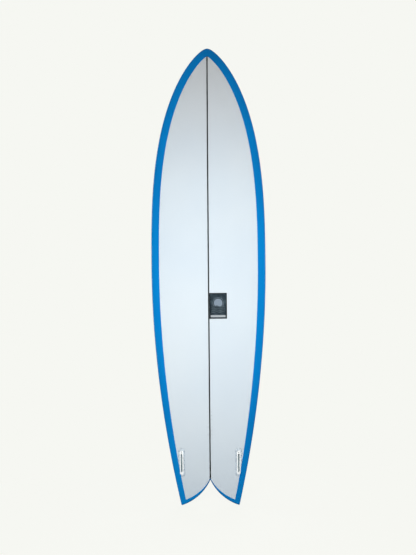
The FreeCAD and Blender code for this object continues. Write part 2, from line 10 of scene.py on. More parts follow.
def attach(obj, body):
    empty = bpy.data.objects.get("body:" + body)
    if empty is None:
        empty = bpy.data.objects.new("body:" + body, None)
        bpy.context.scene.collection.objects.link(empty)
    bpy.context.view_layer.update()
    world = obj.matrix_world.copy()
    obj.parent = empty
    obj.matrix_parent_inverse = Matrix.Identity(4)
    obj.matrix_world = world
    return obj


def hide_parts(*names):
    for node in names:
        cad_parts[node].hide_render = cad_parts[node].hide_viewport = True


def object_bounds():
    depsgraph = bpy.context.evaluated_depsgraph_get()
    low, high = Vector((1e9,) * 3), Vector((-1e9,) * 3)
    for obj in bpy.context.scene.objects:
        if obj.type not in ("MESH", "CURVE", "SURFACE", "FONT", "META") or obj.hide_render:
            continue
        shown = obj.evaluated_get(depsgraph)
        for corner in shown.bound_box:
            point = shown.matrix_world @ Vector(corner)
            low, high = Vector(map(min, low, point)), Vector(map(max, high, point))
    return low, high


# A mid-length surfboard with a swallow tail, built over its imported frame.
# Metres. Bottom towards -Y, deck towards +Y, nose up the Z axis, origin at mid-length.

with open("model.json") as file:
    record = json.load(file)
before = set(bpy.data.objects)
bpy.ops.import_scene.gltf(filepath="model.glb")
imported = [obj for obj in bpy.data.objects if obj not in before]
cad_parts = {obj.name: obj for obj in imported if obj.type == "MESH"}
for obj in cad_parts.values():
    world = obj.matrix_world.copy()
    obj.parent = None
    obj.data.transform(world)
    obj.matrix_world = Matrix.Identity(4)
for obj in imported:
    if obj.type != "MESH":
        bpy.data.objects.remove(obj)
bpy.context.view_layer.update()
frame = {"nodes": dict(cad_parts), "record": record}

MM = 0.001
HALF_LENGTH = 1.1175
LENGTH = 2 * HALF_LENGTH
HALF_WIDTH = 0.276
WIDE_POINT = 1.070
NOSE_DUB = 0.0018
OUTLINE_POWER = 2.83             # fullness of the outline ahead of the widest point
OUTLINE_ROUNDNESS = 0.703
TAIL_NARROWING = 0.49
TAIL_POWER = 1.93
NOSE_ROCKER = 0.118
NOSE_ROCKER_POWER = 2.45
TAIL_ROCKER = 0.052
TAIL_ROCKER_POWER = 2.1
NOSE_THICKNESS = 0.011
NOSE_THINNING = 0.059            # from the thickest place to the nose
NOSE_THINNING_POWER = 1.15
TAIL_THINNING = 0.052
RAIL_HEIGHT = 0.42               # height of the rail's edge, as a share of the thickness
RAIL_RISE_AHEAD = 0.06
RAIL_DROP_AFT = 0.10
DECK_POWER = 2.3                 # powers of the two crowns across the board, deck and bottom
DECK_POWER_AFT = 0.3
BOTTOM_POWER = 3.6
BOTTOM_POWER_AHEAD = 1.2
EDGE_POWER = 2.2                 # the same for the notch's rounded edge
CROTCH_Z = -HALF_LENGTH + 0.1255
NOTCH_RADIUS = 0.230
LAP_CROTCH_Z = CROTCH_Z + 0.007
LAP_CORNER = (0.122, CROTCH_Z - 0.0975)
BOTTOM_LAP = 0.0385
DECK_LAP = 0.046
LAP_TAPER = 0.31                 # share of the laps lost at the tail tips
LAMINATE = 0.0012
FOAM_INSET = 0.0015
HALF_STRINGER = 0.0032
STRINGER_GAP = 0.0001
SLOPE_STEP = 0.0005
SAME_PLACE = 5e-6                # points closer than this are one point
MERGE_REACH = 4e-6
NOSE_ROUND = 0.006               # radius that the nose's point is sanded to
TIP_ROUND = 0.005                # the same for the tail's two tips, in plan
EDGE_ROUND = 0.010               # the notch's edge is rounded over this width


# ---------------------------------------------------------------- hull formulas, s from the nose

def aft_share(s):
    return np.clip((s - WIDE_POINT) / (LENGTH - WIDE_POINT), 0, None)


def fore_share(s):
    return np.clip(1 - s / WIDE_POINT, 0, 1)


def half_width(s):
    ahead = np.clip(1 - (s + NOSE_DUB) / (WIDE_POINT + NOSE_DUB), 0, 1)
    fullness = (1 - ahead ** OUTLINE_POWER) ** OUTLINE_ROUNDNESS
    return HALF_WIDTH * fullness * (1 - TAIL_NARROWING * aft_share(s) ** TAIL_POWER)


def outline_slope(s):
    low = np.maximum(s - SLOPE_STEP, 0)
    high = s + SLOPE_STEP
    return (half_width(high) - half_width(low)) / (high - low)


def bottom_height(s):
    share = (HALF_LENGTH - s) / HALF_LENGTH
    ahead = NOSE_ROCKER * np.clip(share, 0, None) ** NOSE_ROCKER_POWER
    return ahead + TAIL_ROCKER * np.clip(-share, 0, None) ** TAIL_ROCKER_POWER


def thickness(s):
    fullness = (1 - fore_share(s) ** 2) ** NOSE_THINNING_POWER
    return NOSE_THICKNESS + NOSE_THINNING * fullness - TAIL_THINNING * aft_share(s) ** 2


def crown_power(s, deck):
    aft = aft_share(s) ** 2
    if deck:
        return DECK_POWER + DECK_POWER_AFT * aft
    return BOTTOM_POWER - BOTTOM_POWER_AHEAD * fore_share(s) ** 2 + aft


def arc_centre(crotch_z, tip_x, tip_z):
    """Centre, on the board's side, of the notch's arc from its crotch to a tip."""
    chord = math.hypot(tip_x, tip_z - crotch_z)
    out = math.sqrt(NOTCH_RADIUS ** 2 - (chord / 2) ** 2) / chord
    return tip_x / 2 + out * (crotch_z - tip_z), (tip_z + crotch_z) / 2 + out * tip_x


def root(function, low, high):
    """Where the function changes sign, by halving."""
    sign = function(low) > 0
    for _ in range(60):
        middle = (low + high) / 2
        if (function(middle) > 0) == sign:
            low = middle
        else:
            high = middle
    return (low + high) / 2


NOTCH_X, NOTCH_Z = arc_centre(CROTCH_Z, float(half_width(LENGTH)), -HALF_LENGTH)
BAND_X, BAND_Z = arc_centre(LAP_CROTCH_Z, *LAP_CORNER)


def tip_gap(z):
    """How far the rail's tip circle stands outside the notch's, for a circle centred at this height."""
    s = HALF_LENGTH - z
    rail = half_width(s) - TIP_ROUND * np.hypot(1, outline_slope(s))
    return rail - NOTCH_X + math.sqrt((NOTCH_RADIUS - TIP_ROUND) ** 2 - (z - NOTCH_Z) ** 2)


TIP_Z = root(tip_gap, CROTCH_Z, -HALF_LENGTH + 0.001)
TIP_X = NOTCH_X - math.sqrt((NOTCH_RADIUS - TIP_ROUND) ** 2 - (TIP_Z - NOTCH_Z) ** 2)
TIP_SLOPE = float(outline_slope(HALF_LENGTH - TIP_Z))
RAIL_LEAN = TIP_SLOPE / math.hypot(1, TIP_SLOPE)
NOTCH_LEAN = (TIP_Z - NOTCH_Z) / (NOTCH_RADIUS - TIP_ROUND)


def crotch_height(inset):
    return NOTCH_Z - math.sqrt((NOTCH_RADIUS - inset) ** 2 - NOTCH_X ** 2)


def nose_swell(z, inset):
    near = np.clip((HALF_LENGTH - z - inset) / (NOSE_ROUND - inset), 0, 1)
    return np.sqrt(1 - (1 - near) ** 2)


def tip_chord(z, radius):
    return np.sqrt(np.clip(radius ** 2 - (z - TIP_Z) ** 2, 0, None))


def reach(z, inset):
    """x of the rail."""
    s = HALF_LENGTH - z
    width = (half_width(s) - inset * np.hypot(1, outline_slope(s))) * nose_swell(z, inset)
    radius = TIP_ROUND - inset
    return np.where(z < TIP_Z + radius * RAIL_LEAN, TIP_X + tip_chord(z, radius), width)


def notch_edge(z, inset):
    """x of the notch's edge, and 0 ahead of the crotch."""
    radius = NOTCH_RADIUS - inset
    drop = np.clip(radius ** 2 - (z - NOTCH_Z) ** 2, 0, None)
    edge = np.where(z < crotch_height(inset), np.maximum(NOTCH_X - np.sqrt(drop), 0), 0)
    small = TIP_ROUND - inset
    return np.where(z < TIP_Z + small * NOTCH_LEAN, TIP_X - tip_chord(z, small), edge)


def edge_swell(x, z, inset):
    """1 inside the board, falling to 0 at the notch's rounded edge."""
    radius = NOTCH_RADIUS - inset
    crotch_z = crotch_height(inset)
    far = np.hypot(x - NOTCH_X, z - NOTCH_Z)
    beside = NOTCH_X + (x - NOTCH_X) * radius / np.maximum(far, 1e-9) >= 0
    inside = np.where(beside, radius - far, np.hypot(x, z - crotch_z))
    small = TIP_ROUND - inset
    edge = notch_edge(z, inset)
    inside = np.where(z < TIP_Z + small * NOTCH_LEAN, (x - edge) * (TIP_X - edge) / small, inside)
    share = np.clip(inside / (EDGE_ROUND - inset), 0, 1)
    return np.where(z > crotch_z + EDGE_ROUND, 1.0, (1 - (1 - share) ** EDGE_POWER) ** (1 / EDGE_POWER))


def skin(x, z, deck, inset):
    """Height y of the hull's surface, or of one the inset inside it."""
    s = HALF_LENGTH - z
    deep = thickness(s)
    rail = (RAIL_HEIGHT + RAIL_RISE_AHEAD * fore_share(s) ** 2 - RAIL_DROP_AFT * aft_share(s) ** 2) * deep
    power = crown_power(s, deck)
    rise = deep - rail - inset if deck else inset - rail
    side = np.clip(x / np.maximum(reach(z, inset), 1e-9), 0, 1)
    bulge = (1 - side ** power) ** (1 / power)
    return bottom_height(s) + rail + rise * bulge * edge_swell(x, z, inset) * nose_swell(z, inset)


# ---------------------------------------------------------------- lap lines in plan

def lap_line(lap):
    """Heights and x of the coloured lap's inner line, from the tail up to where it meets the stringer."""
    s = np.linspace(0.0005, LENGTH + 0.02, 6000)
    slope = outline_slope(s)
    long = np.hypot(1, slope)
    wide = lap * (1 - LAP_TAPER * aft_share(s) ** 2)
    x = half_width(s) - wide / long
    z = HALF_LENGTH - s - wide * slope / long
    keep = x > 0
    start = int(np.argmax(keep))
    share = -x[start - 1] / (x[start] - x[start - 1])
    z_start = z[start - 1] + share * (z[start] - z[start - 1])
    return np.append(z[start:][::-1], z_start), np.append(x[start:][::-1], 0.0)


LAPS = {False: lap_line(BOTTOM_LAP), True: lap_line(DECK_LAP)}
LAP_START = {deck: float(line[0][-1]) for deck, line in LAPS.items()}


def outer_lap(z, deck):
    return np.interp(z, *LAPS[deck], right=0.0)


def notch_lap(z):
    drop = np.clip(NOTCH_RADIUS ** 2 - (z - BAND_Z) ** 2, 0, None)
    return np.where(z < LAP_CROTCH_Z, np.maximum(BAND_X - np.sqrt(drop), 0), 0)


FIELD_END = {
    deck: root(lambda z: outer_lap(z, deck) - notch_lap(z), CROTCH_Z, -HALF_LENGTH + 0.003) for deck in LAPS
}


def field_edges(z, deck, inset):
    """x where the clear field begins and ends on each row."""
    start = np.maximum(notch_edge(z, inset), notch_lap(z))
    end = np.maximum(outer_lap(z, deck), start)
    last = np.array(FIELD_END[deck])
    edge = notch_edge(last, inset)
    share = (outer_lap(last, deck) - edge) / (reach(last, inset) - edge)
    beyond = notch_edge(z, inset) + share * (reach(z, inset) - notch_edge(z, inset))
    aft = z <= FIELD_END[deck]
    return np.where(aft, beyond, start), np.where(aft, beyond, end)


# ---------------------------------------------------------------- grids over half the board

def eased(count, start_power=1.0, end_power=1.0):
    """Steps from 0 to 1, crowded towards an end by its power."""
    t = np.linspace(0, 1, count + 1)
    return t ** start_power if end_power == 1.0 else 1 - (1 - t ** start_power) ** end_power


def waved(count):
    """Steps from 0 to 1, crowded towards both ends."""
    return (1 - np.cos(np.pi * np.linspace(0, 1, count + 1))) / 2


def row_heights(inset):
    """Height of each row of points, from the nose to the tail tip."""
    stops = [
        HALF_LENGTH - inset, LAP_START[False], LAP_START[True], LAP_CROTCH_Z, crotch_height(inset),
        FIELD_END[True], FIELD_END[False], TIP_Z - TIP_ROUND + inset,
    ]
    steps = [eased(20, 2.0), eased(4), waved(96), eased(7), eased(28, 1.7), eased(4), eased(18, 1.0, 1.8)]
    rows = [np.array([stops[0]])]
    for high, low, share in zip(stops, stops[1:], steps):
        rows.append((high + (low - high) * share)[1:])
    return np.concatenate(rows)


BAND_CELLS = 9
FIELD_CELLS = 32
RAIL_CELLS = 18
ZONE_CELLS = [BAND_CELLS, FIELD_CELLS, RAIL_CELLS, RAIL_CELLS, FIELD_CELLS, BAND_CELLS]
ZONES = np.repeat(["band", "bottom", "rail", "rail", "deck", "band"], ZONE_CELLS)


def side_columns(z, deck, inset):
    """x of each point across one side, from the notch or stringer to the rail."""
    first = notch_edge(z, inset)
    start, end = field_edges(z, deck, inset)
    rail = reach(z, inset)
    power = crown_power(HALF_LENGTH - z, deck)
    ratio = np.clip(end / np.maximum(rail, 1e-9), 0, 1)
    turn = np.arccos(ratio ** (power / 2))[:, None] * (1 - eased(RAIL_CELLS))[None, 1:] ** 1.6
    return np.concatenate([
        first[:, None] + (start - first)[:, None] * eased(BAND_CELLS, 1.6),
        start[:, None] + (end - start)[:, None] * waved(FIELD_CELLS)[None, 1:],
        rail[:, None] * np.cos(turn) ** (2 / power[:, None]),
    ], axis=1)


def half_grid(inset, least_x=0.0):
    """Points over the right half, a row for each height, from the bottom's middle round to the deck's."""
    z = row_heights(inset)
    sides = []
    for deck in (False, True):
        x = np.maximum(side_columns(z, deck, inset), least_x)
        tall = np.broadcast_to(z[:, None], x.shape)
        sides.append(np.stack([x, skin(x, tall, deck, inset), tall], axis=2))
    return np.concatenate([sides[0], sides[1][:, -2::-1]], axis=1)


def finish_mesh(name, points, faces, mirrored=False):
    """Mesh object from points and faces, without doubles, slivers or strays."""
    points = np.asarray(points, float)
    faces = [tuple(face) for face in faces]
    if mirrored:
        shift = len(points)
        points = np.concatenate([points, points * (-1, 1, 1)])
        faces = faces + [tuple(v + shift for v in reversed(face)) for face in faces]
    mesh = bpy.data.meshes.new(name)
    mesh.from_pydata(points.tolist(), [], faces)
    work = bmesh.new()
    work.from_mesh(mesh)
    bmesh.ops.remove_doubles(work, verts=work.verts, dist=MERGE_REACH)
    bmesh.ops.dissolve_degenerate(work, edges=work.edges, dist=MERGE_REACH / 2)
    loose = [edge for edge in work.edges if not edge.link_faces]
    bmesh.ops.delete(work, geom=loose, context="EDGES")
    bmesh.ops.delete(work, geom=[v for v in work.verts if not v.link_faces], context="VERTS")
    bmesh.ops.recalc_face_normals(work, faces=work.faces)
    work.to_mesh(mesh)
    work.free()
    piece = bpy.data.objects.new(name, mesh)
    bpy.context.scene.collection.objects.link(piece)
    return piece


def smooth(piece, degrees=35):
    mesh = piece.data
    mesh.polygons.foreach_set("use_smooth", [True] * len(mesh.polygons))
    mesh.set_sharp_from_angle(angle=math.radians(degrees))
    mesh.update()
    return piece


def merged_points(outer):
    """Number of each grid point, where points at one place share a number, and the narrow cells' mask."""
    rows, columns = outer.shape[:2]
    narrow = np.linalg.norm(np.diff(outer, axis=1), axis=2) <= SAME_PLACE
    point = np.arange(rows * columns).reshape(rows, columns)
    for column in range(1, columns):
        point[:, column] = np.where(narrow[:, column - 1], point[:, column - 1], point[:, column])
    closed = np.linalg.norm(outer[:, 0] - outer[:, -1], axis=1) <= SAME_PLACE
    last = point[:, -1:].copy()
    return np.where(closed[:, None] & (point == last), point[:, :1], point), narrow


def sheet_between(name, zones, outer, inner, mirrored):
    """Closed sheet between two grids, over the named zones."""
    count = outer.shape[0] * outer.shape[1]
    point, narrow = merged_points(outer)
    kept = np.isin(ZONES, zones)[None, :] & ~(narrow[:-1] & narrow[1:])
    faces = []
    sides = {}
    for row, column in zip(*np.nonzero(kept)):
        corners = [(row, column), (row + 1, column), (row + 1, column + 1), (row, column + 1)]
        loop = list(dict.fromkeys(int(point[corner]) for corner in corners))
        faces.append(loop)
        faces.append([v + count for v in reversed(loop)])
        for start, end in zip(loop, loop[1:] + loop[:1]):
            if sides.pop((end, start), None) is None:
                sides[(start, end)] = True
    flat = outer.reshape(-1, 3)
    for start, end in sides:
        if mirrored and abs(flat[start][0]) < SAME_PLACE and abs(flat[end][0]) < SAME_PLACE:
            continue
        faces.append([end, start, start + count, end + count])
    points = np.concatenate([outer.reshape(-1, 3), inner.reshape(-1, 3)])
    return finish_mesh(name, points, faces, mirrored)


def mirror_piece(piece, name):
    twin = bpy.data.objects.new(name, piece.data.copy())
    twin.data.name = name
    twin.data.transform(Matrix.Diagonal((-1, 1, 1, 1)))
    twin.data.flip_normals()
    bpy.context.scene.collection.objects.link(twin)
    return twin


def grid_faces(rows, columns, wrapped):
    """Faces over a grid. Wrapped: a wall joins its first and last columns."""
    faces = []
    for row in range(rows - 1):
        for column in range(columns if wrapped else columns - 1):
            after = (column + 1) % columns
            faces.append([
                row * columns + column, (row + 1) * columns + column,
                (row + 1) * columns + after, row * columns + after,
            ])
    return faces


def solid_from(name, grid, wrapped, mirrored=False):
    """Closed solid from one grid."""
    return finish_mesh(name, grid.reshape(-1, 3), grid_faces(*grid.shape[:2], wrapped), mirrored)


# ---------------------------------------------------------------- fittings

def mount_frame(name, ahead, out):
    """Frame of a fitting from its mount: X towards the nose, Z out of the surface."""
    mount = next(m for m in frame["record"]["mounts"] if m["name"] == name)
    normal = Vector(mount["axis"]).normalized()
    forward = (Vector((0, 0, 1)) - normal * normal.z).normalized()
    place = Vector(mount["pos_m"]) + forward * ahead * MM + normal * out * MM
    return Matrix.Translation(place) @ Matrix((forward, normal.cross(forward), normal)).transposed().to_4x4()


def oblong_loop(length, width, depth, shift, count):
    """Round-ended outline in millimetres, at a depth below the fitting's face."""
    turns = (np.arange(count) + 0.5) * 2 * np.pi / count
    radius = width / 2
    x = shift + np.sign(np.cos(turns)) * (length - width) / 2 + radius * np.cos(turns)
    return np.stack([x, radius * np.sin(turns), np.full(count, -depth)], axis=1)


def lofted(name, place, loops, count=72):
    """Closed form through a stack of outlines, each (length, width, depth, shift)."""
    points = np.concatenate([oblong_loop(*loop, count) for loop in loops]) * MM
    faces = [list(range(count))]
    for ring in range(len(loops) - 1):
        for k in range(count):
            after = (k + 1) % count
            faces.append([
                ring * count + k, ring * count + after,
                (ring + 1) * count + after, (ring + 1) * count + k,
            ])
    faces.append([(len(loops) - 1) * count + k for k in reversed(range(count))])
    piece = finish_mesh(name, points, faces)
    piece.data.transform(place)
    return piece


def cut(piece, cutters):
    """Takes the cutters out of the piece and removes them."""
    for cutter in cutters:
        modifier = piece.modifiers.new("cut", "BOOLEAN")
        modifier.operation = "DIFFERENCE"
        modifier.solver = "EXACT"
        modifier.object = cutter
    bpy.context.view_layer.update()
    shape = bpy.data.meshes.new_from_object(piece.evaluated_get(bpy.context.evaluated_depsgraph_get()))
    piece.modifiers.clear()
    piece.data = shape
    for cutter in cutters:
        bpy.data.objects.remove(cutter)
    return piece


def block(place, length, width, depth, rise=6.0, shift=0.0):
    return lofted("cutter", place, [(length, width, -rise, shift), (length, width, depth, shift)])


SLOT_SHIFT = 1.7                 # from the box's middle towards the tail
SLOT_LENGTH = 88.6
SLOT_WIDTH = 7.0
BAR_DEPTH = 4.2
BOX_FRAMES = {side: mount_frame(f"fin_slot_{side}", SLOT_SHIFT, 0) for side in ("left", "right")}
PLUG_FRAME = mount_frame("leash_bar", 0, BAR_DEPTH)

# Outlines from the floor of the hollow, up and over the rim, and down the outside: each
# (length, width, depth, shift towards the nose).
SLOT_LOOPS = [
    (SLOT_LENGTH + more, SLOT_WIDTH + more, depth, -SLOT_SHIFT)
    for more, depth in ((-1.0, 14.0), (-0.2, 13.7), (0, 13.0), (0, 6.0), (0, 0.8), (0.2, 0.3), (0.8, 0.0))
]
FIN_BOX_LOOPS = SLOT_LOOPS + [
    (116.0, 16.0, 0.0, 0), (116.7, 16.7, 0.15, 0), (117.0, 17.0, 0.5, 0), (117.0, 17.0, 1.5, 0),
    (117.6, 17.6, 1.8, 0), (139.2, 32.2, 1.8, 0), (139.8, 32.8, 2.0, 0), (140.0, 33.0, 2.3, 0),
    (140.0, 33.0, 3.5, 0), (139.4, 32.4, 3.8, 0), (117.0, 17.0, 3.8, 0), (117.0, 17.0, 17.8, 0),
    (116.2, 16.2, 18.7, 0), (114.6, 14.6, 19.0, 0),
]
SLOT_DEPTH_SHOWN = 0.6           # below this the inside of the slot takes its painted shade
FLANGE_DEPTH_SHOWN = 1.7         # below this, outside the rim, the box is under the laminate
RIM_REACH = 58.6                 # just outside the rim, along the box and across it
RIM_ASIDE = 8.6

HOLES_A_SIDE = 6
HOLE_PITCH = 22.3
HOLE_ASIDE = 13.2
HOLE_LENGTH = 5.5
HOLE_WIDTH = 3.2
HOLE_DEPTH = 4.6
SCREW_AHEAD = 51
SCREW_SLOPE = 39                 # degrees below the rim
SCREW_HOLE = 5.0
SCREW_HOLE_DEPTH = 14.0

# Hollows cut for the fittings: each (length, width, depth).
RIM_HOLE = (117.2, 17.2, 3.8)
FLANGE_POCKET = (144, 37, 4.8)
BOX_POCKET = (121, 21, 20)
PLUG_POCKET = (33, 33, 18)
PLUG_LOOPS = [
    (19.2, 19.2, 14.0, 0), (19.8, 19.8, 13.8, 0), (20.0, 20.0, 13.3, 0), (20.0, 20.0, 0.7, 0),
    (20.3, 20.3, 0.25, 0), (21.0, 21.0, 0.0, 0), (27.8, 27.8, 0.0, 0), (28.6, 28.6, 0.15, 0),
    (29.0, 29.0, 0.6, 0), (29.0, 29.0, 1.8, 0), (25.0, 25.0, 1.8, 0), (25.0, 25.0, 16.4, 0),
    (24.0, 24.0, 17.0, 0),
]


def fin_box(side):
    place = BOX_FRAMES[side]
    box = lofted(f"fin_box_{side}_shell", place, FIN_BOX_LOOPS)
    cutters = []
    for across in (-HOLE_ASIDE, HOLE_ASIDE):
        at = place @ Matrix.Translation(Vector((0, across, 0)) * MM)
        for k in range(HOLES_A_SIDE):
            along = (k - (HOLES_A_SIDE - 1) / 2) * HOLE_PITCH
            cutters.append(block(at, HOLE_LENGTH, HOLE_WIDTH, HOLE_DEPTH, 1.0, along))
    lean = Matrix.Rotation(math.pi / 2 - math.radians(SCREW_SLOPE), 4, "Y")
    start = Matrix.Translation(Vector((SCREW_AHEAD, 0, 0)) * MM)
    cutters.append(block(place @ (start @ lean), SCREW_HOLE, SCREW_HOLE, SCREW_HOLE_DEPTH))
    cut(box, cutters)
    smooth(box, 40)
    to_box = place.inverted()
    # Share from the slot's middle to either end: the painted shade inside the slot deepens with it.
    painted_shade_along_slot = box.data.attributes.new("slot_end", "FLOAT", "POINT")
    for vertex, item in zip(box.data.vertices, painted_shade_along_slot.data):
        item.value = min(abs((to_box @ vertex.co).x / MM + SLOT_SHIFT) / (SLOT_LENGTH / 2), 1.0)
    return box


def box_finishes(box, place):
    """Second material inside the slot, the box's plastic in painted shade; third on the flange, which lies
    under the laminate.
    """
    to_box = place.inverted()
    for face in box.data.polygons:
        middle = to_box @ face.center / MM
        inside = abs(middle.y) < SLOT_WIDTH / 2 + 0.2 and abs(middle.x + SLOT_SHIFT) < SLOT_LENGTH / 2 + 0.3
        if inside and middle.z < -SLOT_DEPTH_SHOWN:
            face.material_index = 1
        elif middle.z < -FLANGE_DEPTH_SHOWN and (abs(middle.y) > RIM_ASIDE or abs(middle.x) > RIM_REACH):
            face.material_index = 2


# ---------------------------------------------------------------- build the pieces

outer_grid = half_grid(0.0)
inner_grid = half_grid(LAMINATE)


def drawn_in(grid):
    """The grid with the clear fields drawn in by a tenth of a cell from the coloured laps."""
    grid = grid.copy()
    ends = np.flatnonzero(ZONES[1:] != ZONES[:-1]) + 1
    for column, step in zip(ends, (1, -1, 1, -1)):
        moved = grid[:, column] + (grid[:, column + step] - grid[:, column]) * 0.1
        grid[:, column] = np.where(grid[:, column, :1] > SAME_PLACE, moved, grid[:, column])
    return grid


clear_grids = drawn_in(outer_grid), drawn_in(inner_grid)
bottom_glass = sheet_between("bottom_glass", ["bottom"], *clear_grids, True)
deck_glass = sheet_between("deck_glass", ["deck"], *clear_grids, True)
wrap_right = sheet_between("rail_lap_right", ["rail", "band"], outer_grid, inner_grid, False)
wrap_left = mirror_piece(wrap_right, "rail_lap_left")
foam_right = solid_from("foam_right", half_grid(FOAM_INSET, HALF_STRINGER + STRINGER_GAP), True)
foam_left = mirror_piece(foam_right, "foam_left")


def stringer_grid():
    """Right half of the wooden stringer, between the two foam halves."""
    last = root(lambda z: notch_edge(z, FOAM_INSET) - HALF_STRINGER, CROTCH_Z - 0.03, CROTCH_Z + 0.03)
    z = row_heights(FOAM_INSET)
    z = np.append(z[z > last + 1e-4], last)
    first = notch_edge(z, FOAM_INSET)
    end = np.minimum(reach(z, FOAM_INSET), HALF_STRINGER)
    x = first[:, None] + (end - first)[:, None] * eased(4)
    tall = np.broadcast_to(z[:, None], x.shape)
    sides = [np.stack([x, skin(x, tall, deck, FOAM_INSET), tall], axis=2) for deck in (False, True)]
    return np.concatenate([sides[0], sides[1][:, ::-1]], axis=1)


stringer = solid_from("stringer_strip", stringer_grid(), False, True)

for side, foam, wrap in (("left", foam_left, wrap_left), ("right", foam_right, wrap_right)):
    place = BOX_FRAMES[side]
    cut(foam, [block(place, *FLANGE_POCKET), block(place, *BOX_POCKET)])
    cut(wrap, [block(place, *RIM_HOLE)])
cut(foam_right, [block(PLUG_FRAME, *PLUG_POCKET)])
cut(bottom_glass, [block(place, *RIM_HOLE) for place in BOX_FRAMES.values()])
cut(deck_glass, [block(PLUG_FRAME, *PLUG_POCKET)])
for piece in (bottom_glass, deck_glass, wrap_left, wrap_right, foam_left, foam_right, stringer):
    smooth(piece)

fin_boxes = {side: fin_box(side) for side in BOX_FRAMES}
plug_cup = smooth(lofted("leash_cup", PLUG_FRAME, PLUG_LOOPS), 40)

DECAL_LEFT = 0.0035
DECAL_WIDE = 0.084
DECAL_TALL = 0.124
DECAL_MIDDLE_Z = -0.147
DECAL_INSETS = (0.00128, 0.00142)


def decal_sheet():
    """Thin sheet following the bottom, between the foam and the glass."""
    across = DECAL_LEFT + DECAL_WIDE * np.linspace(0, 1, 29)
    down = DECAL_MIDDLE_Z + DECAL_TALL * np.linspace(0.5, -0.5, 41)
    x, z = np.meshgrid(across, down)
    layers = [np.stack([x, skin(x, z, False, inset), z], axis=2) for inset in DECAL_INSETS]
    sheet = np.concatenate([layers[0], layers[1][:, ::-1]], axis=1)
    rows, columns = sheet.shape[:2]
    ends = []
    for row in (0, rows - 1):
        start = row * columns
        for k in range(len(across) - 1):
            a = start + k
            b = start + columns - 1 - k
            ends.append([a, a + 1, b - 1, b])
    return finish_mesh("decal_sheet", sheet.reshape(-1, 3), grid_faces(rows, columns, True) + ends)


decal = smooth(decal_sheet())


# ---------------------------------------------------------------- materials

def linear(red, green, blue):
    """Colour as the renderer counts it, from 0 to 255 steps as a screen shows it."""
    channels = [c / 255 for c in (red, green, blue)]
    return tuple(c / 12.92 if c <= 0.04045 else ((c + 0.055) / 1.055) ** 2.4 for c in channels) + (1.0,)


def add(tree, kind, sockets=None, **settings):
    node = tree.nodes.new(kind)
    for name, value in settings.items():
        setattr(node, name, value)
    for name, value in (sockets or {}).items():
        if isinstance(value, bpy.types.NodeSocket):
            tree.links.new(value, node.inputs[name])
        else:
            node.inputs[name].default_value = value
    return node


def new_material(name, **sockets):
    material = bpy.data.materials.new(name)
    material.use_nodes = True
    shader = material.node_tree.nodes["Principled BSDF"]
    for socket, value in sockets.items():
        shader.inputs[socket.replace("_", " ")].default_value = value
    return material, material.node_tree, shader


def place_of(tree, stretch=(1, 1, 1)):
    """Coordinates that stay with the piece, in metres, stretched along each axis."""
    where = add(tree, "ShaderNodeTexCoord").outputs["Object"]
    if stretch == (1, 1, 1):
        return where
    return add(tree, "ShaderNodeMapping", {"Vector": where, "Scale": stretch}).outputs["Vector"]


def noise(tree, scale, detail=3.0, stretch=(1, 1, 1), rough=0.5):
    return add(tree, "ShaderNodeTexNoise", {
        "Vector": place_of(tree, stretch), "Scale": scale, "Detail": detail, "Roughness": rough,
    }).outputs["Fac"]


def ramp(tree, value, *stops):
    node = add(tree, "ShaderNodeValToRGB", {"Fac": value})
    elements = node.color_ramp.elements
    while len(elements) < len(stops):
        elements.new(0.5)
    for element, (position, colour) in zip(elements, stops):
        element.position = position
        element.color = colour
    return node.outputs["Color"]


def grey(value):
    return (value, value, value, 1.0)


def mixed(tree, share, a, b, how="MIX"):
    node = add(tree, "ShaderNodeMix", data_type="RGBA", blend_type=how)
    for socket, value in ((node.inputs[0], share), (node.inputs[6], a), (node.inputs[7], b)):
        if isinstance(value, bpy.types.NodeSocket):
            tree.links.new(value, socket)
        else:
            socket.default_value = value
    return node.outputs[2]


def maths(tree, how, a, b=0.0):
    node = add(tree, "ShaderNodeMath", operation=how)
    for socket, value in zip(node.inputs, (a, b)):
        if isinstance(value, bpy.types.NodeSocket):
            tree.links.new(value, socket)
        else:
            socket.default_value = value
    return node.outputs[0]


def bump(tree, shader, value, strength, distance):
    node = add(tree, "ShaderNodeBump", {"Height": value, "Strength": strength, "Distance": distance})
    tree.links.new(node.outputs["Normal"], shader.inputs["Normal"])


def roughness(tree, shader, value, low, high):
    spread = add(tree, "ShaderNodeMapRange", {"Value": value, "To Min": low, "To Max": high})
    tree.links.new(spread.outputs["Result"], shader.inputs["Roughness"])


BANDS_A_METRE = 3.1831           # of the wave texture at scale 1
CLOTH_PITCH = 0.0011


def weave(tree, pitch):
    """Plain weave of glass cloth, from 0 to 1."""
    bands = []
    for axis in ("X", "Z"):
        wave = add(tree, "ShaderNodeTexWave", {
            "Vector": place_of(tree), "Scale": 1 / pitch / BANDS_A_METRE, "Distortion": 0.4, "Detail": 1.0,
        }, wave_type="BANDS", bands_direction=axis)
        bands.append(wave.outputs["Fac"])
    return maths(tree, "MULTIPLY", *bands)


def within(tree, value, low, high, soft):
    """1 between the two limits, with soft edges."""
    rise = add(tree, "ShaderNodeMapRange", {
        "Value": value, "From Min": low - soft, "From Max": low + soft}, interpolation_type="SMOOTHSTEP")
    fall = add(tree, "ShaderNodeMapRange", {
        "Value": value, "From Min": high - soft, "From Max": high + soft, "To Min": 1.0, "To Max": 0.0,
    }, interpolation_type="SMOOTHSTEP")
    return maths(tree, "MULTIPLY", rise.outputs["Result"], fall.outputs["Result"])


